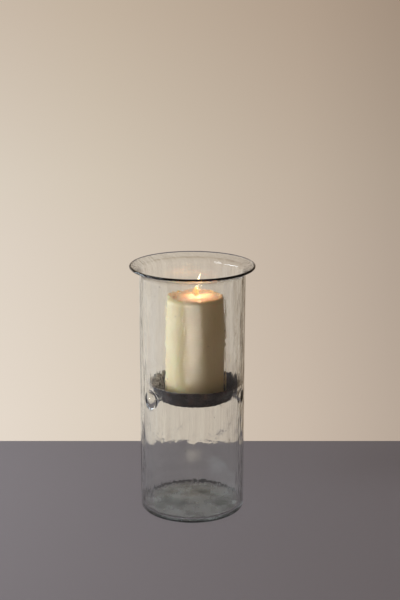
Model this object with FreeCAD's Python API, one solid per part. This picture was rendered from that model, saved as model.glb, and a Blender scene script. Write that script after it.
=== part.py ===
import FreeCAD, Part
import math
import os
from FreeCAD import Vector

# Hurricane candle lantern: a blown glass cylinder with a flared rim and three poked-in
# dimples, a flared iron dish whose wall rests on the dimples' tips, and a pillar candle
# standing in the dish.
#
# Millimetres, +Z up.  The origin is on the glass's axis, in the plane it stands on.
# Each separate physical piece is written to its own STEP file in parts/.

# ---- driving dimensions -------------------------------------------------------------

# glass
GLASS_HEIGHT = 305.0
BODY_RADIUS = 63.5
WALL = 3.0
RIM_RADIUS = 75.2
RIM_BEAD_RADIUS = 1.5
FLARE_FROM_VERTICAL = 62.0  # degrees, how far the rim is folded out
FLARE_BEND_RADIUS = 6.0
HEEL_RADIUS = 3.0
FOOT_INNER_RADIUS = 50.0  # the flat foot ring runs from here to the heel
PUNT_HEIGHT = 4.5  # the underside is pushed up this far at its centre
FLOOR_EDGE_Z = 3.4
FLOOR_CENTRE_Z = 7.9
FLOOR_CORNER_RADIUS = 6.0
FLOOR_ARC_SHARE = 0.75  # of the inner radius: the domed part of the floor
DOME_MIDWAY_SHARE = 0.72  # rise of either dome halfway out, as a share of its rise in the middle
MOUTH_AIR_LENGTH = 20.0  # how far the cutting shape for the hollow runs on past the rim

# dish, pressed from sheet iron; radii and heights are those of its outer side
DISH_OFFSET_X = 3.3  # the loose dish doesn't sit quite on the glass's axis
DISH_SHEET = 1.5
DISH_BASE_Z = 140.3
DISH_FLOOR_RADIUS = 45.0
DISH_FLOOR_BEND = 6.0
DISH_LIP_RADIUS = 56.0
DISH_LIP_Z = 160.0

# dimples, poked in from outside with a rod; the dish's wall rests on them
DIMPLE_ANGLES = (-52.0, 68.0, 188.0)  # degrees from the front (-Y) towards +X
DIMPLE_Z = 148.3
DIMPLE_DOME_RADIUS = 4.5
DIMPLE_HALF_ANGLE = 30.0  # degrees, of the cone behind the dome
DIMPLE_SKIN = 2.3  # glass thickness over the dimple
DIMPLE_TO_DISH_GAP = 0.3
DIMPLE_INNER_FILLET = 2.4
DIMPLE_MOUTH_FILLET = 4.0
PEG_PAST_WALL = 10.0  # how far the cutting shape runs out past the wall

# how a dimple's edge is told from the glass's other edges
DIMPLE_EDGE_OFF_CENTRE = 1.0  # at most, from the dimples' height
DIMPLE_EDGE_HEIGHTS = (5.0, 40.0)
DIMPLE_EDGE_OFF_WALL = 0.05
DIMPLE_EDGE_SAMPLES = 9

# candle
CANDLE_OFFSET_X = 4.4
CANDLE_RADIUS = 36.4
CANDLE_HEIGHT = 126.2
CANDLE_TOP_RADIUS = 34.9  # the warm top has sagged in a little
CANDLE_SAG_LENGTH = 24.0
CANDLE_SHOULDER_RADIUS = 5.5
CANDLE_BASE_CHAMFER = 1.5
POOL_RADIUS = 27.0
POOL_DEPTH = 4.5
POOL_EDGE_RADIUS = 2.0
POOL_CORNER_RADIUS = 3.5

WICK_RADIUS = 1.1
WICK_STRAIGHT_ABOVE_POOL = 2.0
WICK_BEND_RADIUS = 16.0
WICK_BEND_ANGLE = 32.0

CLIP_DISC_RADIUS = 9.0
CLIP_SHEET = 0.5
CLIP_NECK_RADIUS = 2.0
CLIP_NECK_HEIGHT = 6.0

CANDLE_BASE_Z = DISH_BASE_Z + DISH_SHEET


# ---- outlines in the (radius, height) half-plane ------------------------------------


def line_crossing(p, u, q, v):
    """Where the line through p along u meets the line through q along v."""
    cross = u[0] * v[1] - u[1] * v[0]
    t = ((q[0] - p[0]) * v[1] - (q[1] - p[1]) * v[0]) / cross
    return (p[0] + t * u[0], p[1] + t * u[1])


def unit(a, b):
    length = math.hypot(b[0] - a[0], b[1] - a[1])
    return ((b[0] - a[0]) / length, (b[1] - a[1]) / length)


def rounded_edges(corners):
    """Edges through corners (radius, height, bend radius), each bend a tangent arc."""
    edges = []
    start = corners[0]
    for before, corner, after in zip(corners, corners[1:], corners[2:]):
        into = unit(before, corner)
        out_of = unit(corner, after)
        turn = math.atan2(
            into[0] * out_of[1] - into[1] * out_of[0],
            into[0] * out_of[0] + into[1] * out_of[1],
        )
        if corner[2] > 0 and abs(turn) > 1e-6:
            cut = corner[2] * math.tan(abs(turn) / 2)
            reach = corner[2] * (1 / math.cos(turn / 2) - 1)
            inward = (out_of[0] - into[0], out_of[1] - into[1])
            size = math.hypot(*inward)
            first = (corner[0] - cut * into[0], corner[1] - cut * into[1])
            middle = (
                corner[0] + reach * inward[0] / size,
                corner[1] + reach * inward[1] / size,
            )
            last = (corner[0] + cut * out_of[0], corner[1] + cut * out_of[1])
            edges.append(straight(start, first))
            edges.append(arc(first, middle, last))
            start = last
        else:
            edges.append(straight(start, corner))
            start = corner
    edges.append(straight(start, corners[-1]))
    return edges


def place(p):
    return Vector(p[0], 0, p[1])


def straight(a, b):
    return Part.LineSegment(place(a), place(b)).toShape()


def arc(a, b, c):
    return Part.Arc(place(a), place(b), place(c)).toShape()


def turned(edges):
    """The solid that a closed outline makes when it is turned about the Z axis."""
    wire = Part.Wire(Part.__sortEdges__(edges))
    solid = Part.Face(wire).revolve(Vector(0, 0, 0), Vector(0, 0, 1), 360)
    if solid.Volume < 0:
        solid.reverse()
    return solid


def offset_corners(corners, distance):
    """Corners moved to the left of the way they run, for one side of a sheet."""
    lines = []
    for a, b in zip(corners, corners[1:]):
        u = unit(a, b)
        lines.append(((a[0] - u[1] * distance, a[1] + u[0] * distance), u))
    moved = [(lines[0][0][0], lines[0][0][1], 0)]
    for (p, u), (q, v), corner in zip(lines, lines[1:], corners[1:]):
        x, z = line_crossing(p, u, q, v)
        left_turn = u[0] * v[1] - u[1] * v[0] > 0
        bend = corner[2] - distance if left_turn else corner[2] + distance
        moved.append((x, z, bend))
    end, u = corners[-1], lines[-1][1]
    moved.append((end[0] - u[1] * distance, end[1] + u[0] * distance, 0))
    return moved


# ---- glass --------------------------------------------------------------------------


def flare_side(wall_radius, side):
    """Corner and end of the flare's underside (side +1) or topside (side -1)."""
    lean = math.radians(FLARE_FROM_VERTICAL)
    along = (math.sin(lean), math.cos(lean))
    bead = (RIM_RADIUS - RIM_BEAD_RADIUS, GLASS_HEIGHT - RIM_BEAD_RADIUS)
    end = (
        bead[0] + side * RIM_BEAD_RADIUS * along[1],
        bead[1] - side * RIM_BEAD_RADIUS * along[0],
    )
    corner = line_crossing(end, along, (wall_radius, 0), (0, 1))
    tip = (bead[0] + RIM_BEAD_RADIUS * along[0], bead[1] + RIM_BEAD_RADIUS * along[1])
    return corner, end, tip


def glass_outside():
    """Everything within the outer surface, hollow not yet taken out."""
    corner, end, tip = flare_side(BODY_RADIUS, 1)
    _, top_end, _ = flare_side(BODY_RADIUS - WALL, -1)
    midway = (FOOT_INNER_RADIUS / 2, PUNT_HEIGHT * DOME_MIDWAY_SHARE)
    edges = [arc((0, PUNT_HEIGHT), midway, (FOOT_INNER_RADIUS, 0))]
    edges += rounded_edges(
        [
            (FOOT_INNER_RADIUS, 0, 0),
            (BODY_RADIUS, 0, HEEL_RADIUS),
            (BODY_RADIUS, corner[1], FLARE_BEND_RADIUS),
            (end[0], end[1], 0),
        ]
    )
    edges.append(arc(end, tip, top_end))
    edges.append(straight(top_end, (0, top_end[1])))
    edges.append(straight((0, top_end[1]), (0, PUNT_HEIGHT)))
    return turned(edges)


def glass_inside():
    """The air inside, which runs up past the rim."""
    inner = BODY_RADIUS - WALL
    corner, end, _ = flare_side(inner, -1)
    lean = math.radians(FLARE_FROM_VERTICAL)
    beyond = (
        end[0] + MOUTH_AIR_LENGTH * math.sin(lean),
        end[1] + MOUTH_AIR_LENGTH * math.cos(lean),
    )
    floor_arc_radius = inner * FLOOR_ARC_SHARE
    midway_z = FLOOR_EDGE_Z + (FLOOR_CENTRE_Z - FLOOR_EDGE_Z) * DOME_MIDWAY_SHARE
    midway = (floor_arc_radius / 2, midway_z)
    edges = [arc((0, FLOOR_CENTRE_Z), midway, (floor_arc_radius, FLOOR_EDGE_Z))]
    edges += rounded_edges(
        [
            (floor_arc_radius, FLOOR_EDGE_Z, 0),
            (inner, FLOOR_EDGE_Z, FLOOR_CORNER_RADIUS),
            (inner, corner[1], FLARE_BEND_RADIUS + WALL),
            (beyond[0], beyond[1], 0),
        ]
    )
    edges.append(straight(beyond, (0, beyond[1])))
    edges.append(straight((0, beyond[1]), (0, FLOOR_CENTRE_Z)))
    return turned(edges)


def dimple_tip(angle):
    """How far a dimple's tip is from the glass's axis, so that all three meet the dish alike."""
    wall = unit((DISH_FLOOR_RADIUS, DISH_BASE_Z), (DISH_LIP_RADIUS, DISH_LIP_Z))
    stand_off = DIMPLE_DOME_RADIUS + DIMPLE_TO_DISH_GAP
    dome_centre = DISH_FLOOR_RADIUS + ((DIMPLE_Z - DISH_BASE_Z) * wall[0] + stand_off) / wall[1]
    return dome_centre - DIMPLE_DOME_RADIUS + DISH_OFFSET_X * math.sin(math.radians(angle))


def dimple(angle, skin):
    """A domed cone on the dimple's axis: the bump inside (skin 0) or the hollow outside."""
    tip = dimple_tip(angle) + skin
    dome = DIMPLE_DOME_RADIUS - skin
    root = BODY_RADIUS + PEG_PAST_WALL - tip
    lean = math.radians(DIMPLE_HALF_ANGLE)
    turn = math.pi / 2 - lean
    middle = (dome * math.sin(turn / 2), dome * (1 - math.cos(turn / 2)))
    shoulder = (dome * math.sin(turn), dome * (1 - math.cos(turn)))
    end = (shoulder[0] + math.tan(lean) * (root - shoulder[1]), root)
    peg = turned(
        [
            arc((0, 0), middle, shoulder),
            straight(shoulder, end),
            straight(end, (0, root)),
            straight((0, root), (0, 0)),
        ]
    )
    way = Vector(math.sin(math.radians(angle)), -math.cos(math.radians(angle)), 0)
    peg.Placement = FreeCAD.Placement(
        way * tip + Vector(0, 0, DIMPLE_Z), FreeCAD.Rotation(Vector(0, 0, 1), way)
    )
    return peg


def edges_round_dimples(solid, wall_radius):
    """The closed edges where the dimples meet the wall of that radius."""
    shortest, tallest = DIMPLE_EDGE_HEIGHTS
    found = []
    for edge in solid.Edges:
        box = edge.BoundBox
        off_centre = abs((box.ZMin + box.ZMax) / 2 - DIMPLE_Z)
        if edge.Degenerated or off_centre > DIMPLE_EDGE_OFF_CENTRE:
            continue
        if not shortest < box.ZLength < tallest:
            continue
        points = edge.discretize(DIMPLE_EDGE_SAMPLES)
        if all(abs(math.hypot(p.x, p.y) - wall_radius) < DIMPLE_EDGE_OFF_WALL for p in points):
            found.append(edge)
    return found


def glass_cylinder():
    outside = glass_outside()
    inside = glass_inside()
    for angle in DIMPLE_ANGLES:
        outside = outside.cut(dimple(angle, DIMPLE_SKIN))
        inside = inside.cut(dimple(angle, 0))
    outside = outside.makeFillet(DIMPLE_MOUTH_FILLET, edges_round_dimples(outside, BODY_RADIUS))
    inside = inside.makeFillet(DIMPLE_INNER_FILLET, edges_round_dimples(inside, BODY_RADIUS - WALL))
    return outside.cut(inside)


# ---- dish ---------------------------------------------------------------------------


def candle_dish():
    outer = [
        (0, DISH_BASE_Z, 0),
        (DISH_FLOOR_RADIUS, DISH_BASE_Z, DISH_FLOOR_BEND),
        (DISH_LIP_RADIUS, DISH_LIP_Z, 0),
    ]
    inner = offset_corners(outer, DISH_SHEET)
    along = unit(outer[-2], outer[-1])
    nose = (
        (outer[-1][0] + inner[-1][0] + along[0] * DISH_SHEET) / 2,
        (outer[-1][1] + inner[-1][1] + along[1] * DISH_SHEET) / 2,
    )
    edges = rounded_edges(outer) + rounded_edges(inner)
    edges.append(arc(outer[-1], nose, inner[-1]))
    edges.append(straight(outer[0], inner[0]))
    dish = turned(edges)
    dish.translate(Vector(DISH_OFFSET_X, 0, 0))
    return dish


# ---- candle -------------------------------------------------------------------------


def wick_path():
    """Straight up through the wax, then a bend towards +X above the pool."""
    pool_z = CANDLE_BASE_Z + CANDLE_HEIGHT - POOL_DEPTH
    bottom = Vector(0, 0, CANDLE_BASE_Z + CLIP_SHEET)
    knee = Vector(0, 0, pool_z + WICK_STRAIGHT_ABOVE_POOL)

    def on_bend(share):
        a = math.radians(WICK_BEND_ANGLE) * share
        return knee + Vector(1 - math.cos(a), 0, math.sin(a)) * WICK_BEND_RADIUS

    return Part.Wire(
        [
            Part.LineSegment(bottom, knee).toShape(),
            Part.Arc(knee, on_bend(0.5), on_bend(1.0)).toShape(),
        ]
    )


def wick():
    path = wick_path()
    start = path.Vertexes[0].Point
    ring = Part.Wire(Part.Circle(start, Vector(0, 0, 1), WICK_RADIUS).toShape())
    cord = path.makePipeShell([ring], True, False)
    cord.translate(Vector(CANDLE_OFFSET_X, 0, 0))
    return cord


def wick_clip():
    """The pressed steel foot under the wick: a disc with a crimped neck."""
    centre = Vector(CANDLE_OFFSET_X, 0, CANDLE_BASE_Z)
    disc = Part.makeCylinder(CLIP_DISC_RADIUS, CLIP_SHEET, centre)
    above = centre + Vector(0, 0, CLIP_SHEET)
    neck = Part.makeCylinder(CLIP_NECK_RADIUS, CLIP_NECK_HEIGHT - CLIP_SHEET, above)
    bore = Part.makeCylinder(WICK_RADIUS, CLIP_NECK_HEIGHT, above)
    return disc.fuse(neck).cut(bore).removeSplitter()


def candle_wax():
    top = CANDLE_BASE_Z + CANDLE_HEIGHT
    pool = top - POOL_DEPTH
    edges = rounded_edges(
        [
            (0, CANDLE_BASE_Z, 0),
            (CANDLE_RADIUS - CANDLE_BASE_CHAMFER, CANDLE_BASE_Z, 0),
            (CANDLE_RADIUS, CANDLE_BASE_Z + CANDLE_BASE_CHAMFER, 0),
            (CANDLE_RADIUS, top - CANDLE_SAG_LENGTH, CANDLE_SAG_LENGTH),
            (CANDLE_TOP_RADIUS, top, CANDLE_SHOULDER_RADIUS),
            (POOL_RADIUS, top, POOL_EDGE_RADIUS),
            (POOL_RADIUS, pool, POOL_CORNER_RADIUS),
            (0, pool, 0),
        ]
    )
    edges.append(straight((0, pool), (0, CANDLE_BASE_Z)))
    wax = turned(edges)
    wax.translate(Vector(CANDLE_OFFSET_X, 0, 0))
    return wax.cut(wick()).cut(wick_clip_room())


def wick_clip_room():
    """The clip filled in, to take its seat out of the wax."""
    centre = Vector(CANDLE_OFFSET_X, 0, CANDLE_BASE_Z)
    disc = Part.makeCylinder(CLIP_DISC_RADIUS, CLIP_SHEET, centre)
    neck = Part.makeCylinder(CLIP_NECK_RADIUS, CLIP_NECK_HEIGHT, centre)
    return disc.fuse(neck)


# ---- write the pieces ---------------------------------------------------------------

PIECES = {
    "glass_cylinder": glass_cylinder,
    "candle_dish": candle_dish,
    "candle_wax": candle_wax,
    "wick": wick,
    "wick_clip": wick_clip,
}

os.makedirs("parts", exist_ok=True)
for name, make in PIECES.items():
    shape = make()
    solid = shape.Solids[0]
    assert len(shape.Solids) == 1 and solid.isValid(), name
    solid.exportStep(os.path.join("parts", name + ".step"))
    box = solid.BoundBox
    print(
        "%-15s %9.0f mm3  x %.1f..%.1f  y %.1f..%.1f  z %.2f..%.2f"
        % (name, solid.Volume, box.XMin, box.XMax, box.YMin, box.YMax, box.ZMin, box.ZMax)
    )
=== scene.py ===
import math
import random

import bmesh
import bpy
from mathutils import Matrix, Vector, noise


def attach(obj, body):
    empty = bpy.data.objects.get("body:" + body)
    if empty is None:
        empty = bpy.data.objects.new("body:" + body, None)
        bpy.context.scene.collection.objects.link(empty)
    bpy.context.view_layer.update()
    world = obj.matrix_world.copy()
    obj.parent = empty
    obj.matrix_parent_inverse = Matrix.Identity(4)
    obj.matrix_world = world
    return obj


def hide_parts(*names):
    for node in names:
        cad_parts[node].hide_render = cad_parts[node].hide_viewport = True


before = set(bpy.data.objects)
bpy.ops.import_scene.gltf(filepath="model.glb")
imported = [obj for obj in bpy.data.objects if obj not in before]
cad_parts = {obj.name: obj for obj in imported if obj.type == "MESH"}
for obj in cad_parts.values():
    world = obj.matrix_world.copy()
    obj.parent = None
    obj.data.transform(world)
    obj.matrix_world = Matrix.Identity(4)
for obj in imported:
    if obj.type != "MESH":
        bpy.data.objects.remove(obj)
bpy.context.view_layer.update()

random.seed(7)
mm = 0.001
print("frame loaded:", ", ".join(sorted(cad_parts)))


# the smaller of two lengths, with a rounded change from one to the other
def smoothMin(a, b, blend):
    share = max(0.0, min(1.0, 0.5 + 0.5 * (b - a) / blend))
    return b + (a - b) * share - blend * share * (1 - share)


def smoothStep(low, high, value):
    t = max(0.0, min(1.0, (value - low) / (high - low)))
    return t * t * (3 - 2 * t)


# angles are in degrees from the front (-Y) towards +X
def outward(angle):
    return Vector((math.sin(math.radians(angle)), -math.cos(math.radians(angle)), 0))


# corners are (radius, height) or (radius, height, cut, steps) in mm; a cut rounds the corner
def turnedMesh(corners, steps, longest):
    bm = bmesh.new()
    verts = [bm.verts.new((c[0] * mm, 0, c[1] * mm)) for c in corners]
    for a, b in zip(verts, verts[1:]):
        bm.edges.new((a, b))
    for vert, corner in zip(verts, corners):
        if len(corner) == 4:
            bmesh.ops.bevel(bm, geom=[vert], offset=corner[2] * mm, segments=corner[3],
                            profile=0.5, affect="VERTICES", material=-1)
    for edge in bm.edges[:]:
        cuts = int(edge.calc_length() / (longest * mm))
        if cuts:
            bmesh.ops.subdivide_edges(bm, edges=[edge], cuts=cuts)
    bmesh.ops.spin(bm, geom=bm.verts[:] + bm.edges[:], cent=(0, 0, 0), axis=(0, 0, 1),
                   angle=math.tau, steps=steps, use_merge=True)
    bmesh.ops.remove_doubles(bm, verts=bm.verts, dist=1e-6)
    bmesh.ops.dissolve_degenerate(bm, edges=bm.edges, dist=1e-7)
    bmesh.ops.recalc_face_normals(bm, faces=bm.faces)
    return bm


def finishPiece(name, bm, body, material, stands=()):
    mesh = bpy.data.meshes.new(name)
    for face in bm.faces:
        face.smooth = True
    bm.to_mesh(mesh)
    bm.free()
    mesh.materials.append(material)
    piece = bpy.data.objects.new(name, mesh)
    bpy.context.scene.collection.objects.link(piece)
    if stands:
        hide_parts(*stands)
    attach(piece, body)
    print(name, "made,", len(mesh.polygons), "faces")
    return piece


def grey(level):
    return (level, level, level)


def newMaterial(name):
    material = bpy.data.materials.new(name)
    material.use_nodes = True
    tree = material.node_tree
    shader = next(n for n in tree.nodes if n.type == "BSDF_PRINCIPLED")
    coords = tree.nodes.new("ShaderNodeTexCoord").outputs["Object"]
    return material, tree, shader, coords


def addNode(tree, kind, links=(), **settings):
    node = tree.nodes.new(kind)
    for key, value in settings.items():
        setattr(node, key, value)
    for socket, value in dict(links).items():
        if hasattr(value, "is_linked"):
            tree.links.new(value, node.inputs[socket])
        else:
            node.inputs[socket].default_value = value
    return node


def noiseNode(tree, coords, scale, detail=3.0, rough=0.5, stretch=(1, 1, 1), shift=(0, 0, 0)):
    place = addNode(tree, "ShaderNodeMapping", {"Vector": coords, "Scale": stretch, "Location": shift})
    values = {"Vector": place.outputs["Vector"], "Scale": scale, "Detail": detail, "Roughness": rough}
    return addNode(tree, "ShaderNodeTexNoise", values).outputs["Fac"]


def cellNode(tree, coords, scale):
    return addNode(tree, "ShaderNodeTexVoronoi", {"Vector": coords, "Scale": scale}).outputs["Distance"]


def rampNode(tree, value, stops):
    node = addNode(tree, "ShaderNodeValToRGB", {"Fac": value})
    elements = node.color_ramp.elements
    while len(elements) < len(stops):
        elements.new(0.5)
    for element, (position, colour) in zip(elements, stops):
        element.position = position
        element.color = (*colour, 1)
    return node.outputs["Color"]


# goes from start to end while the value goes from low to high
def rangeNode(tree, value, low, high, start=0.0, end=1.0):
    values = {"Value": value, "From Min": low, "From Max": high, "To Min": start, "To Max": end}
    return addNode(tree, "ShaderNodeMapRange", values).outputs["Result"]


def mathNode(tree, operation, a, b):
    return addNode(tree, "ShaderNodeMath", {0: a, 1: b}, operation=operation).outputs[0]


def splitNode(tree, vector):
    return addNode(tree, "ShaderNodeSeparateXYZ", {"Vector": vector}).outputs


def lengthNode(tree, vector):
    return addNode(tree, "ShaderNodeVectorMath", {0: vector}, operation="LENGTH").outputs["Value"]


def mixNode(tree, fac, a, b, blend="MIX"):
    node = tree.nodes.new("ShaderNodeMix")
    node.data_type = "RGBA"
    node.blend_type = blend
    for index, value in ((0, fac), (6, a), (7, b)):
        if hasattr(value, "is_linked"):
            tree.links.new(value, node.inputs[index])
        else:
            node.inputs[index].default_value = value if index == 0 else (*value, 1)
    return node.outputs[2]


# each layer is a height and how far it lifts the surface, in metres
def bumpNode(tree, shader, layers):
    previous = None
    for height, distance in layers:
        bump = addNode(tree, "ShaderNodeBump", {"Height": height, "Distance": distance, "Strength": 1.0})
        if previous:
            tree.links.new(previous, bump.inputs["Normal"])
        previous = bump.outputs["Normal"]
    tree.links.new(previous, shader.inputs["Normal"])


# lengths in mm
glass = {
    "bodyRadius": 63.5,
    "wall": 3.0,
    "steps": 240,
    "longest": 2.8,           # longest edge along the outline
    "rippleSize": 11.0,       # length of the small waves
    "rippleDepth": 0.12,
    "streakLength": 80.0,
    "streakDepth": 0.14,
    "outOfRound": 0.22,
    "baseWave": 0.55,
    "dimpleAngles": (-52.0, 68.0, 188.0),
    "dimpleHeight": 148.3,
    "dimpleLean": 30.0,       # degrees, the cone behind each tip
    "dimpleReach": 49.85,     # from the axis to a tip
    "dimpleDome": 4.5,
    "dimpleSkin": 2.3,        # thickness of the glass over a tip
    "dimpleBlendOutside": 5.0,
    "dimpleBlendInside": 3.6,
    "dishOffset": 3.3,
    "tint": (0.62, 0.70, 0.68),
    "density": 9.0,
    "ior": 1.52,
    "seeds": 130,
    "seedRadius": (0.22, 0.55),
    "seedStretch": (1.0, 2.4),
}

outside = glass["bodyRadius"]
inside = glass["bodyRadius"] - glass["wall"]
middle = 62.0    # between the wall's two faces

glassProfile = (
    (0, 5.0), (20, 4.0, 6, 4), (48.5, 0.0, 4, 4), (outside, 0, 3.0, 5),
    (outside, 296.4, 3.6, 6), (75.73, 302.88, 1.5, 5), (74.32, 305.53, 1.5, 5),
    (inside, 298.2, 5.4, 7), (inside, 3.4, 6.0, 7), (44, 3.8, 4, 4), (0, 7.9),
)


# the loose dish hangs a little to the right, so the dimples' tips do too
def dimpleTip(angle):
    return glass["dimpleReach"] + glass["dishOffset"] * math.sin(math.radians(angle))


def pokeDimples(co):
    outer = math.hypot(co.x, co.y) > middle * mm
    skin = glass["dimpleSkin"] if outer else 0.0
    blend = glass["dimpleBlendOutside"] if outer else glass["dimpleBlendInside"]
    lean = math.radians(glass["dimpleLean"])
    dome = (glass["dimpleDome"] - skin) * mm
    for angle in glass["dimpleAngles"]:
        way = outward(angle)
        along = co.dot(way)
        side = (co - way * along - Vector((0, 0, glass["dimpleHeight"] * mm))).length
        if along < 40 * mm or side > 20 * mm:
            continue
        tip = (dimpleTip(angle) + skin) * mm
        if side < dome * math.cos(lean):
            reach = tip + dome - math.sqrt(dome ** 2 - side ** 2)
        else:
            cone = (side - dome * math.cos(lean)) / math.tan(lean)
            reach = tip + dome * (1 - math.sin(lean)) + cone
        co += way * (smoothMin(along, reach, blend * mm) - along)
    return co


# small waves, finer waves on them, and long streaks up the wall
def ripple(co, normal):
    inward = normal.dot(Vector((co.x, co.y, 0))) < 0
    shift = Vector((0.31, 0.17, 0.23)) * (1.0 if inward else 2.0)
    size = glass["rippleSize"] * mm
    streakWidth = 0.8 * size
    streakAt = Vector((co.x / streakWidth, co.y / streakWidth, co.z / (glass["streakLength"] * mm)))
    small = noise.noise(co / size + shift * 40)
    finer = noise.noise(co / (size * 0.45) + shift * 70)
    long = noise.noise(streakAt + shift * 20)
    height = glass["rippleDepth"] * (small + 0.45 * finer) + glass["streakDepth"] * long
    height *= smoothStep(1.0, 16.0, co.z / mm) if not inward else 1.0
    height *= 1 - 0.6 * smoothStep(292.0, 300.0, co.z / mm)
    return height * mm


# slow lumps in the floor and the underside, fading out before the wall
def baseLumps(co, normal):
    across = math.hypot(co.x, co.y) / mm
    broad = noise.noise(Vector((co.x, co.y, co.z * 3)) / (17 * mm))
    lumps = broad + 0.5 * noise.noise(co / (8 * mm))
    fade = smoothStep(55.0, 44.0, across) if normal.z > 0 else smoothStep(49.0, 40.0, across)
    return lumps * glass["baseWave"] * mm * fade


bm = turnedMesh(glassProfile, glass["steps"], glass["longest"])
for angle in glass["dimpleAngles"]:
    spot = outward(angle) * middle * mm + Vector((0, 0, glass["dimpleHeight"] * mm))
    near = [f for f in bm.faces if (f.calc_center_median() - spot).length < 15 * mm]
    edges = list(dict.fromkeys(e for f in near for e in f.edges))
    bmesh.ops.subdivide_edges(bm, edges=edges, cuts=2, use_grid_fill=True)
bm.normal_update()
for vert in bm.verts:
    co = vert.co.copy()
    normal = vert.normal.copy()
    wave = noise.noise(Vector((co.x, co.y, co.z * 0.4)) / (70 * mm)) * glass["outOfRound"] * mm
    wave *= smoothStep(0.0, 40.0, co.z / mm)
    moved = co + normal * ripple(co, normal)
    moved += Vector((co.x, co.y, 0)).normalized() * wave
    if co.z < 14 * mm and math.hypot(co.x, co.y) / mm < 55:
        moved.z += baseLumps(co, normal)
    vert.co = pokeDimples(moved)
    if vert.co.z < 0:
        vert.co.z = 0

# small bubbles caught in the wall, faces turned inwards
bubbles = bmesh.new()
for _ in range(glass["seeds"]):
    turn = random.uniform(0, math.tau)
    height = random.uniform(12, 292)
    size = random.uniform(*glass["seedRadius"]) * mm
    seat = Matrix.Translation((middle * mm * math.cos(turn), middle * mm * math.sin(turn), height * mm))
    shape = Matrix.Diagonal((size, size, size * random.uniform(*glass["seedStretch"]), 1))
    bmesh.ops.create_icosphere(bubbles, subdivisions=2, radius=1.0, matrix=seat @ shape)
bmesh.ops.reverse_faces(bubbles, faces=bubbles.faces)
bubbleMesh = bpy.data.meshes.new("bubbles")
bubbles.to_mesh(bubbleMesh)
bubbles.free()
bm.from_mesh(bubbleMesh)
bpy.data.meshes.remove(bubbleMesh)


def glassMaterial():
    material, tree, shader, coords = newMaterial("blown_glass")
    streaks = noiseNode(tree, coords, 60, 4, 0.6, stretch=(1, 1, 0.12))
    clean = rampNode(tree, streaks, ((0.3, (0.95, 0.962, 0.955)), (0.7, (0.99, 1.0, 0.992))))
    film = noiseNode(tree, coords, 24, 5, 0.65)
    smooth = rampNode(tree, film, ((0.5, grey(0.0)), (0.8, grey(0.05))))

    # the floor inside the wall is worn and cloudy
    level = splitNode(tree, coords)["Z"]
    flat = addNode(tree, "ShaderNodeVectorMath", {0: coords, 1: (1, 1, 0)}, operation="MULTIPLY")
    radius = lengthNode(tree, flat.outputs["Vector"])
    low = rangeNode(tree, level, 0.013, 0.008)
    within = rangeNode(tree, radius, 0.0605, 0.056)
    worn = mathNode(tree, "MULTIPLY", low, within)
    cloudy = noiseNode(tree, coords, 38, 3, 0.55, shift=(5, 5, 5))
    frost = rampNode(tree, cloudy, ((0.35, grey(0.16)), (0.65, grey(0.34))))
    murk = rampNode(tree, cloudy, ((0.36, (0.50, 0.555, 0.515)), (0.48, (0.70, 0.74, 0.70)),
                                   (0.62, (0.84, 0.87, 0.82))))
    tree.links.new(mixNode(tree, worn, smooth, frost), shader.inputs["Roughness"])
    colour = mixNode(tree, worn, clean, murk)

    # painted shade: the colour at the outer edge of the foot is darkened to stand in for the contact shadow
    # under the glass
    foot = rangeNode(tree, level, 0.0040, 0.0032)
    heel = rangeNode(tree, radius, 0.0585, 0.0605)
    edge = mathNode(tree, "MULTIPLY", foot, heel)
    tree.links.new(mixNode(tree, edge, colour, (0.05, 0.052, 0.05)), shader.inputs["Base Color"])
    shader.inputs["IOR"].default_value = glass["ior"]
    shader.inputs["Transmission Weight"].default_value = 1.0

    # a finely grained patch at the front of the upper wall
    peel = noiseNode(tree, coords, 300, 2, 0.5)
    patches = noiseNode(tree, coords, 17, 2, 0.5, shift=(4, 2, 9))
    patchy = rampNode(tree, patches, ((0.35, grey(0.3)), (0.65, grey(1.0))))
    grain = cellNode(tree, coords, 330.0)
    drawn = noiseNode(tree, coords, 150, 3, 0.55, stretch=(1, 1, 0.1))
    toFront = addNode(tree, "ShaderNodeVectorMath", {0: coords, 1: (-0.001, -0.063, 0.222)},
                      operation="SUBTRACT")
    squeezed = addNode(tree, "ShaderNodeMapping", {"Vector": toFront.outputs["Vector"], "Scale": (1, 1, 0.5)})
    away = lengthNode(tree, squeezed.outputs["Vector"])
    grained = rangeNode(tree, away, 0.012, 0.045, start=1.0, end=0.08)
    bumpNode(tree, shader, ((mathNode(tree, "MULTIPLY", peel, patchy), 0.00006),
                            (mathNode(tree, "MULTIPLY", grain, grained), 0.0003), (drawn, 0.0004)))

    tint = {"Color": (*glass["tint"], 1), "Density": glass["density"]}
    volume = addNode(tree, "ShaderNodeVolumeAbsorption", tint)
    output = next(n for n in tree.nodes if n.type == "OUTPUT_MATERIAL")
    tree.links.new(volume.outputs["Volume"], output.inputs["Volume"])
    return material


cylinder = finishPiece("blown_cylinder", bm, "glass", glassMaterial(),
                       stands=("glass_cylinder",))
cylinder.visible_shadow = False     # so that direct light reaches the candle and the dish
cylinder.visible_diffuse = False


# lengths in mm
dish = {
    "offset": glass["dishOffset"],
    "steps": 200,
    "longest": 1.6,
    "floorTop": 141.8,
    "floorRadius": 44.8,
    "flare": 0.56,        # growth of the wall's radius for each mm of height
    "dents": 0.45,
    "wallIn": 0.25,       # the wall sits this much further in, clear of the dimples
    "ragged": 0.7,
    "lipDown": 0.3,
    "frontLift": 1.0,
    "bounceLightFrom": 14.0,     # painted bounce light on the inner face starts here and is strongest at the next value, both along X
    "bounceLightTo": -34.0,
}

dishProfile = (
    (0, 140.3), (45, 140.3, 3.5, 5), (56.37, 160.65, 0.6, 3), (55.06, 161.39, 0.6, 3),
    (44.1, dish["floorTop"], 2.6, 4), (0, dish["floorTop"]),
)

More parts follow.
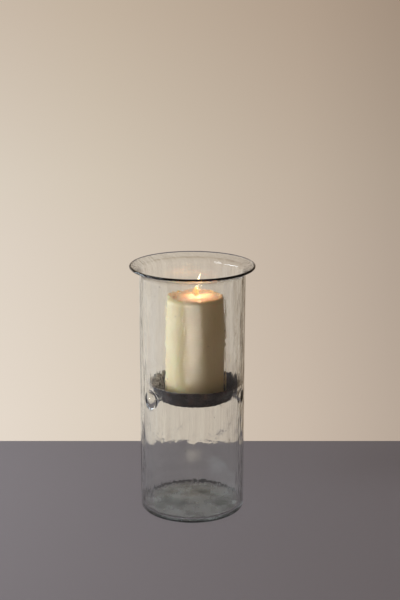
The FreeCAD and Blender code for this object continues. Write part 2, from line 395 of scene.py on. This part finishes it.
bm = turnedMesh(dishProfile, dish["steps"], dish["longest"])
# a mask for painted bounce light: the inner face is made paler towards the left, where the candle's lit side
# throws light back onto it
bounceLightLayer = bm.verts.layers.float.new("painted_bounce_light")
for vert in bm.verts:
    co = vert.co.copy()
    across = math.hypot(co.x, co.y) / mm
    wallRadius = dish["floorRadius"] + dish["flare"] * (co.z / mm - dish["floorTop"])
    innerFace = co.z > 141.5 * mm and across < wallRadius
    vert[bounceLightLayer] = smoothStep(dish["bounceLightFrom"], dish["bounceLightTo"], co.x / mm) if innerFace else 0.0
    turn = math.atan2(co.y, co.x)
    around = Vector((math.cos(turn), math.sin(turn), 0))
    lip = smoothStep(147.0, 161.0, co.z / mm)
    wall = smoothStep(42.0, 48.0, across)
    edge = noise.noise(around * 2.4) + 0.6 * noise.noise(around * 7.0) + 0.3 * noise.noise(around * 19.0)
    dent = noise.noise(co / (16 * mm)) + 0.5 * noise.noise(co / (7 * mm))
    rise = dish["ragged"] * edge - dish["frontLift"] * math.sin(turn) - dish["lipDown"]
    co.z += rise * lip * mm
    co += around * (dent * dish["dents"] * wall - dish["wallIn"] * wall) * mm
    vert.co = co + Vector((dish["offset"] * mm, 0, 0))


def ironMaterial():
    material, tree, shader, coords = newMaterial("rusted_iron")
    patches = noiseNode(tree, coords, 55, 6, 0.62)
    spots = noiseNode(tree, coords, 240, 5, 0.7, shift=(3, 1, 2))
    rust = noiseNode(tree, coords, 95, 7, 0.68, shift=(7, 5, 1))
    base = rampNode(tree, patches, ((0.3, (0.009, 0.007, 0.0065)), (0.5, (0.026, 0.020, 0.0185)),
                                    (0.68, (0.105, 0.092, 0.088))))
    rusty = rampNode(tree, spots, ((0.35, (0.055, 0.022, 0.012)), (0.7, (0.20, 0.085, 0.038))))
    share = rampNode(tree, rust, ((0.5, grey(0.0)), (0.66, grey(0.55))))
    iron = mixNode(tree, share, base, rusty)
    # painted bounce light: pale flecks on the inner left face stand in for light thrown back from the
    # candle's lit side
    painted_bounce_light = addNode(tree, "ShaderNodeAttribute", attribute_name="painted_bounce_light").outputs["Fac"]
    flecks = noiseNode(tree, coords, 260, 4, 0.75, shift=(2, 6, 4))
    paintedBounce = mathNode(tree, "MULTIPLY", painted_bounce_light, rampNode(tree, flecks, ((0.46, grey(0.0)), (0.56, grey(1.0)))))
    tree.links.new(mixNode(tree, paintedBounce, iron, (0.85, 0.78, 0.76)), shader.inputs["Base Color"])
    rough = rampNode(tree, patches, ((0.3, grey(0.62)), (0.7, grey(0.34))))
    tree.links.new(mixNode(tree, share, rough, grey(0.9)), shader.inputs["Roughness"])
    metal = mathNode(tree, "SUBTRACT", 0.75, mathNode(tree, "MAXIMUM", share, paintedBounce))
    tree.links.new(metal, shader.inputs["Metallic"])
    scale = noiseNode(tree, coords, 130, 6, 0.7)
    pits = cellNode(tree, coords, 420.0)
    bumpNode(tree, shader, ((scale, 0.0018), (flecks, 0.0006), (pits, 0.0003)))
    return material


finishPiece("flared_dish", bm, "dish", ironMaterial(), stands=("candle_dish",))


# lengths in mm
candle = {
    "offset": 4.4,
    "base": 141.8,
    "radius": 36.4,
    "steps": 160,
    "longest": 2.2,
    "shoulderWave": 0.7,
    "sideWave": 0.16,
    "ior": 1.44,
    "bleed": (1.0, 0.62, 0.34),    # how far red, green and blue light spread in the wax
}

candleProfile = (
    (0, 142.3), (9.1, 142.3), (9.1, candle["base"]), (candle["radius"], candle["base"], 1.6, 4),
    (candle["radius"], 244, 12, 8), (34.9, 268.1, 7.0, 12), (28.0, 267.2, 2.4, 6),
    (26.0, 263.6, 2.6, 6), (0, 262.9),
)

bm = turnedMesh(candleProfile, candle["steps"], candle["longest"])
for vert in bm.verts:
    co = vert.co.copy()
    turn = math.atan2(co.y, co.x)
    around = Vector((math.cos(turn), math.sin(turn), 0))
    across = math.hypot(co.x, co.y) / mm
    top = smoothStep(255.0, 266.0, co.z / mm) * smoothStep(24.0, 30.0, across)
    uneven = noise.noise(around * 1.3) + 0.4 * noise.noise(around * 4.0)
    co.z += top * candle["shoulderWave"] * uneven * mm
    side = smoothStep(30.0, 35.5, across) * smoothStep(142.3, 150.0, co.z / mm)
    co += around * side * candle["sideWave"] * noise.noise(co / (26 * mm)) * mm
    vert.co = co + Vector((candle["offset"] * mm, 0, 0))


# colours and rough are each a low and a high value; depth is in metres
def waxMaterial(name, colours, rough, depth):
    material, tree, shader, coords = newMaterial(name)
    cloud = noiseNode(tree, coords, 28, 4, 0.55)
    colour = rampNode(tree, cloud, ((0.3, colours[0]), (0.7, colours[1])))
    tree.links.new(colour, shader.inputs["Base Color"])
    bloom = noiseNode(tree, coords, 90, 4, 0.6)
    dull = rampNode(tree, bloom, ((0.3, grey(rough[0])), (0.7, grey(rough[1]))))
    tree.links.new(dull, shader.inputs["Roughness"])
    shader.inputs["IOR"].default_value = candle["ior"]
    shader.inputs["Subsurface Weight"].default_value = 1.0
    shader.inputs["Subsurface Radius"].default_value = candle["bleed"]
    shader.inputs["Subsurface Scale"].default_value = depth
    grain = noiseNode(tree, coords, 340, 3, 0.6)
    swell = noiseNode(tree, coords, 70, 2, 0.5)
    bumpNode(tree, shader, ((swell, 0.0005), (grain, 0.00006)))
    return material


ivoryWax = waxMaterial("ivory_wax", ((0.81, 0.645, 0.355), (0.87, 0.725, 0.435)), (0.42, 0.56), 0.006)
finishPiece("pillar", bm, "candle", ivoryWax, stands=("candle_wax",))

# the melted wax lies level in the pool
poolProfile = ((0, 264.0), (25.8, 264.0), (27.5, 266.7, 0.4, 2), (0, 266.6))
bm = turnedMesh(poolProfile, 96, 2.5)
bmesh.ops.translate(bm, verts=bm.verts, vec=(candle["offset"] * mm, 0, 0))
meltedWax = waxMaterial("melted_wax", ((0.84, 0.62, 0.43), (0.88, 0.69, 0.50)), (0.05, 0.12), 0.009)
finishPiece("wax_pool", bm, "candle", meltedWax)


# three strands twisted together, bent over at the end; lengths in mm
wick = {
    "strands": 3,
    "strand": 0.62,        # radius of one strand
    "spread": 0.56,        # from the wick's middle to a strand's
    "pitch": 7.0,
    "stepsPerTurn": 12,
    "from": 146.0,
    "kneeHeight": 265.5,
    "bendRadius": 16.0,
    "top": 275.0,
}

bm = bmesh.new()
for strand in range(wick["strands"]):
    turn = strand * math.tau / wick["strands"]
    spread = wick["spread"] * mm
    seat = Matrix.Translation((spread * math.cos(turn), spread * math.sin(turn), wick["from"] * mm))
    ring = bmesh.ops.create_circle(bm, cap_ends=False, segments=8, radius=wick["strand"] * mm, matrix=seat)
    edges = list(dict.fromkeys(e for v in ring["verts"] for e in v.link_edges))
    turns = (wick["top"] - wick["from"]) / wick["pitch"]
    count = int(turns * wick["stepsPerTurn"])
    bmesh.ops.spin(bm, geom=ring["verts"] + edges, cent=(0, 0, 0), axis=(0, 0, 1),
                   dvec=(0, 0, wick["pitch"] * mm / wick["stepsPerTurn"]),
                   angle=math.tau * count / wick["stepsPerTurn"], steps=count)
bmesh.ops.holes_fill(bm, edges=bm.edges, sides=10)
bmesh.ops.recalc_face_normals(bm, faces=bm.faces)
for vert in bm.verts:
    co = vert.co.copy()
    over = co.z - wick["kneeHeight"] * mm
    if over > 0:
        bend = over / (wick["bendRadius"] * mm)
        arm = wick["bendRadius"] * mm - co.x
        co.x = wick["bendRadius"] * mm - arm * math.cos(bend)
        co.z = wick["kneeHeight"] * mm + arm * math.sin(bend)
    vert.co = co + Vector((candle["offset"] * mm, 0, 0))


def wickMaterial():
    material, tree, shader, coords = newMaterial("charred_cotton")
    height = splitNode(tree, coords)["Z"]
    uneven = noiseNode(tree, coords, 700, 3, 0.6)
    level = mathNode(tree, "ADD", height, mathNode(tree, "MULTIPLY", uneven, 0.002))
    burnt = rangeNode(tree, level, 0.2665, 0.2715)
    colour = rampNode(tree, burnt, ((0.0, (0.72, 0.58, 0.36)), (0.25, (0.09, 0.05, 0.025)),
                                    (0.7, (0.012, 0.009, 0.008))))
    tree.links.new(colour, shader.inputs["Base Color"])
    dull = rampNode(tree, uneven, ((0.3, grey(0.75)), (0.7, grey(0.95))))
    tree.links.new(dull, shader.inputs["Roughness"])
    bumpNode(tree, shader, ((noiseNode(tree, coords, 2600, 3, 0.6), 0.0002),))
    return material


finishPiece("braided_wick", bm, "candle", wickMaterial(), stands=("wick",))


# lengths in mm
flame = {
    "foot": 266.2,
    "height": 28.8,
    "width": 5.0,
    "lean": 0.195,         # share of its height that the tip leans over
    "x": 4.5,
    "brightness": 2.6,
    "glow": 0.055,
    "glowColour": (1.0, 0.50, 0.32),
}

bm = bmesh.new()
bmesh.ops.create_uvsphere(bm, u_segments=32, v_segments=32, radius=0.5)
for vert in bm.verts:
    up = vert.co.z + 0.5
    taper = 1.35 * math.sqrt(max(0.0, 1 - up)) * (1 - 0.35 * up)
    vert.co.x *= taper * flame["width"] * mm
    vert.co.y *= taper * flame["width"] * mm
    vert.co.z = (flame["foot"] + up * flame["height"]) * mm
    vert.co.x += (flame["x"] + up * up * flame["lean"] * flame["height"]) * mm


def flameMaterial():
    material, tree, shader, coords = newMaterial("flame")
    height = splitNode(tree, coords)["Z"]
    rise = rangeNode(tree, height, flame["foot"] * mm, (flame["foot"] + flame["height"]) * mm)
    colour = rampNode(tree, rise, ((0.0, (0.30, 0.14, 0.06)), (0.15, (0.42, 0.22, 0.07)),
                                   (0.4, (0.62, 0.36, 0.11)), (0.6, (0.95, 0.76, 0.42)),
                                   (0.85, (1.0, 0.88, 0.62)), (1.0, (0.9, 0.66, 0.34))))
    tree.links.new(colour, shader.inputs["Emission Color"])
    shader.inputs["Base Color"].default_value = (0, 0, 0, 1)
    shader.inputs["Emission Strength"].default_value = flame["brightness"]
    edge = addNode(tree, "ShaderNodeLayerWeight", {"Blend": 0.35}).outputs["Facing"]
    solid = rampNode(tree, edge, ((0.3, grey(1.0)), (0.95, grey(0.0))))
    foot = rampNode(tree, rise, ((0.0, grey(0.3)), (0.06, grey(1.0))))
    tree.links.new(mathNode(tree, "MULTIPLY", solid, foot), shader.inputs["Alpha"])
    return material


flamePiece = finishPiece("flame", bm, "candle", flameMaterial())
flamePiece.visible_diffuse = False
flamePiece.visible_shadow = False


# the steel clip under the candle keeps its shape
def steelMaterial():
    material, tree, shader, coords = newMaterial("tinned_steel")
    dull = noiseNode(tree, coords, 300, 5, 0.6)
    colour = rampNode(tree, dull, ((0.3, (0.42, 0.42, 0.41)), (0.7, (0.66, 0.65, 0.63))))
    tree.links.new(colour, shader.inputs["Base Color"])
    rough = rampNode(tree, dull, ((0.3, grey(0.42)), (0.7, grey(0.26))))
    tree.links.new(rough, shader.inputs["Roughness"])
    shader.inputs["Metallic"].default_value = 1.0
    bumpNode(tree, shader, ((noiseNode(tree, coords, 900, 3, 0.6), 0.00008),))
    return material


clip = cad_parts["wick_clip"]
clip.data.materials.clear()
clip.data.materials.append(steelMaterial())
print("materials done")


# lengths in metres, powers in watts
studio = {
    "floorRadius": 1.45,
    "floorBack": 0.208,       # the floor ends here behind the glass
    "floorColour": (0.53, 0.465, 0.49),
    "windowPower": 8.6,
    "skyPower": 1.9,
    "lowCardPower": 0.04,
    "stripPower": 0.26,       # shared by all the strips
    "strips": 4,
    "stripGap": 0.055,
    "spread": 110.0,          # degrees
    "worldStrength": 1.0,
}

bm = bmesh.new()
bmesh.ops.create_circle(bm, cap_ends=True, segments=96, radius=studio["floorRadius"])
bmesh.ops.bisect_plane(bm, geom=bm.verts[:] + bm.edges[:] + bm.faces[:], dist=1e-6,
                       plane_co=(0, studio["floorBack"], 0), plane_no=(0, 1, 0), clear_outer=True)
floorMesh = bpy.data.meshes.new("floor")
bm.to_mesh(floorMesh)
bm.free()
floor = bpy.data.objects.new("floor", floorMesh)
bpy.context.scene.collection.objects.link(floor)
material, tree, shader, coords = newMaterial("pale_floor")
cloud = noiseNode(tree, coords, 900, 3, 0.6)
pale = studio["floorColour"]
darker = tuple(c * 0.97 for c in pale)
tree.links.new(rampNode(tree, cloud, ((0.3, darker), (0.7, pale))), shader.inputs["Base Color"])
shader.inputs["Roughness"].default_value = 0.8
floorMesh.materials.append(material)

glassOnly = bpy.data.collections.new("glass_only")
glassOnly.objects.link(cylinder)


def areaLight(name, place, target, size, power, colour, onlyGlass=False):
    data = bpy.data.lights.new(name, "AREA")
    data.shape = "RECTANGLE"
    data.size, data.size_y = size
    data.energy = power
    data.color = colour
    data.spread = math.radians(studio["spread"])
    light = bpy.data.objects.new(name, data)
    bpy.context.scene.collection.objects.link(light)
    light.location = place
    light.rotation_mode = "QUATERNION"
    light.rotation_quaternion = (Vector(target) - Vector(place)).to_track_quat("-Z", "Y")
    light.visible_camera = False
    light.visible_transmission = False
    if onlyGlass:
        light.light_linking.receiver_collection = glassOnly


middleOfGlass = (0, 0, 0.2)
areaLight("window", (-1.5, 0.20, 0.32), middleOfGlass, (1.3, 0.6), studio["windowPower"], (0.80, 0.91, 1.0))
areaLight("sky", (-1.45, -0.72, 0.78), middleOfGlass, (0.5, 0.7), studio["skyPower"], (0.88, 0.95, 1.0))

# these show only as reflections in the glass
areaLight("low_card", (-0.5, 0.04, 0.085), middleOfGlass, (0.6, 0.13), studio["lowCardPower"],
          (0.95, 0.97, 1.0), onlyGlass=True)
for index in range(studio["strips"]):
    fromMiddle = index - (studio["strips"] - 1) / 2
    place = (fromMiddle * studio["stripGap"] - 0.004, -0.45, 0.125)
    areaLight("strip", place, (0, -0.06, 0.21), (0.008, 0.055), studio["stripPower"] / studio["strips"],
              (1.0, 0.88, 0.68), onlyGlass=True)

glowData = bpy.data.lights.new("flame_glow", "POINT")
glowData.energy = flame["glow"]
glowData.color = flame["glowColour"]
glowData.shadow_soft_size = 0.003
glowData.cycles.use_multiple_importance_sampling = False
glow = bpy.data.objects.new("flame_glow", glowData)
bpy.context.scene.collection.objects.link(glow)
glow.location = ((candle["offset"] + 3.2) * mm, 0, 0.280)
glow.parent = flamePiece

# a warm wall behind, lighter on the left and above, and a darker room all round
world = bpy.data.worlds.new("studio")
bpy.context.scene.world = world
world.use_nodes = True
tree = world.node_tree
background = next(n for n in tree.nodes if n.type == "BACKGROUND")
direction = addNode(tree, "ShaderNodeTexCoord").outputs["Generated"]
parts = splitNode(tree, direction)
across = rangeNode(tree, parts["X"], -1.0, 1.0)
wall = rampNode(tree, across, ((0.0, (0.80, 0.74, 0.66)), (0.40, (0.79, 0.71, 0.62)),
                               (0.427, (0.774, 0.686, 0.591)), (0.463, (0.723, 0.631, 0.527)),
                               (0.543, (0.584, 0.485, 0.397)), (0.579, (0.485, 0.397, 0.323)),
                               (0.65, (0.36, 0.28, 0.20)), (1.0, (0.17, 0.115, 0.075))))
height = rangeNode(tree, parts["Z"], -0.34, 0.0)
shade = rampNode(tree, height, ((0.0, (1.0, 1.0, 1.0)), (0.38, (0.93, 0.924, 0.915)),
                                (0.52, (0.893, 0.888, 0.865)), (0.70, (0.826, 0.804, 0.769)),
                                (0.90, (0.757, 0.715, 0.67)), (1.0, (0.73, 0.69, 0.64))))
wall = mixNode(tree, 1.0, wall, shade, blend="MULTIPLY")
behind = rangeNode(tree, parts["Y"], 0.1, -0.6)
around = mixNode(tree, behind, wall, (0.26, 0.205, 0.15))
overhead = rangeNode(tree, parts["Z"], 0.05, 0.45)
around = mixNode(tree, overhead, around, (0.115, 0.10, 0.085))
below = rangeNode(tree, parts["Z"], -0.37, -0.39)
tree.links.new(mixNode(tree, below, around, (0.16, 0.145, 0.155)), background.inputs["Color"])
background.inputs["Strength"].default_value = studio["worldStrength"]

view = {
    "place": (0.0, -1.4421, 0.6452),
    "down": 14.906,       # degrees below level
    "lens": 74.80,
    "shift": 0.0129,
}

cameraData = bpy.data.cameras.new("camera")
cameraData.sensor_width = 36.0
cameraData.lens = view["lens"]
cameraData.shift_x = view["shift"]
cameraData.clip_end = 50.0
camera = bpy.data.objects.new("camera", cameraData)
bpy.context.scene.collection.objects.link(camera)
camera.location = view["place"]
camera.rotation_euler = (math.radians(90 - view["down"]), 0, 0)
bpy.context.scene.camera = camera
bpy.context.scene.view_settings.view_transform = "Standard"
print("floor, light and camera done")
